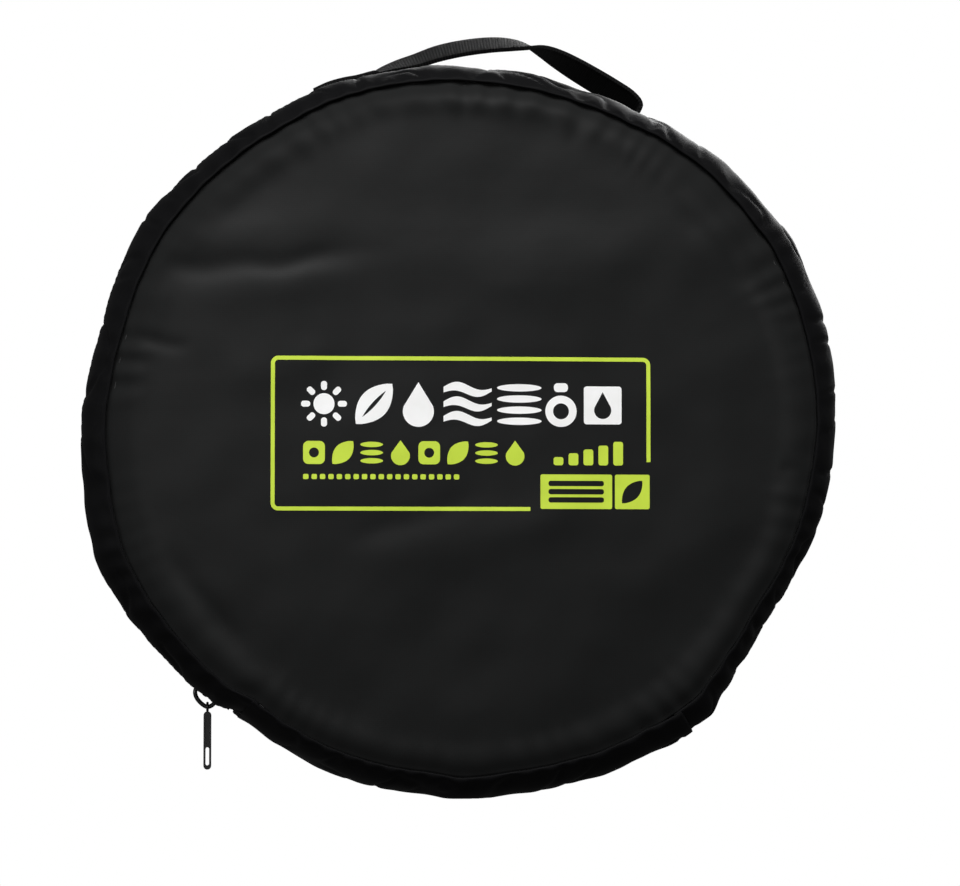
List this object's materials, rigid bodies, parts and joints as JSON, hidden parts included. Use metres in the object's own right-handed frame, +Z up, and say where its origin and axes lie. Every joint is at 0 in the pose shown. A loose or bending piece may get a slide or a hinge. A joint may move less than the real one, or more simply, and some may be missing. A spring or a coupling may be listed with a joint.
{
  "type": "zippered carry bag with folded hanging drying net",
  "caption": "Round zipped fabric carry bag with a rim handle, standing on its rim, holding a folded tiered hanging drying net; the front panel opens as a lid.",
  "frame": {"origin": "under the middle of the bag, on the surface that it stands on", "axes": "the round front faces -Y, +X is to the right as seen from the front, +Z is up through the handle's side of the rim"},
  "size_m": [0.3146, 0.066, 0.3231],
  "materials": {
    "shell_fabric": "satin",
    "seam_binding": "matte",
    "zip_tape": "matte",
    "zip_coil": "satin",
    "webbing": "matte",
    "slider_metal": "satin",
    "spring_wire": "satin",
    "net_mesh": "matte"
  },
  "bodies": {
    "bag": {"back_panel": "shell_fabric", "back_binding": "seam_binding", "gusset_back_strip": "shell_fabric", "gusset_hinge_panel": "shell_fabric", "zip_tape_back": "zip_tape", "zip_coil_back": "zip_coil", "zip_end_tab_left": "shell_fabric", "zip_end_tab_right": "shell_fabric", "zip_stop_left": "slider_metal", "zip_stop_right": "slider_metal", "handle_anchor_left": "webbing", "handle_anchor_right": "webbing", "tier_1_hoop": "spring_wire", "tier_1_net": "net_mesh", "tier_2_hoop": "spring_wire", "tier_2_net": "net_mesh", "tier_3_hoop": "spring_wire", "tier_3_net": "net_mesh", "tier_4_hoop": "spring_wire", "tier_4_net": "net_mesh", "tier_5_hoop": "spring_wire", "tier_5_net": "net_mesh", "tier_6_hoop": "spring_wire", "tier_6_net": "net_mesh", "strap_bundle": "webbing", "hanging_hook": "spring_wire"},
    "lid": {"front_panel": "shell_fabric", "front_binding": "seam_binding", "gusset_front_strip": "shell_fabric", "zip_tape_front": "zip_tape", "zip_coil_front": "zip_coil"},
    "slider": {"slider_body": "slider_metal", "slider_bail": "slider_metal"},
    "puller": {"zip_puller": "slider_metal"},
    "handle": {"handle_webbing": "webbing"}
  },
  "joints": [
    {"name": "lid_open", "type": "hinge", "parent": "bag", "child": "lid", "pos_m": [0, -0.0287, 0.0077], "axis": [1, 0, 0], "range_deg": [0, 90], "deforming": ["zip_coil_front"]},
    {"name": "zip_travel", "type": "hinge", "parent": "bag", "child": "slider", "pos_m": [0, 0, 0.1568], "axis": [0, 1, 0], "range_deg": [0, 276]},
    {"name": "puller_swing", "type": "hinge", "parent": "slider", "child": "puller", "pos_m": [-0.10599, 0, 0.0385], "axis": [1, 0, 0], "range_deg": [-70, 70]},
    {"name": "handle_fold", "type": "hinge", "parent": "bag", "child": "handle", "pos_m": [-0.02386, 0.017, 0.31643], "axis": [0.9848, 0, -0.1736], "range_deg": [-35, 20], "stiffness_Nm_per_rad": 0.01}
  ],
  "couplings": [
    {"joint": "zip_travel", "follows": "lid_open", "ratio": 3.066}
  ]
}
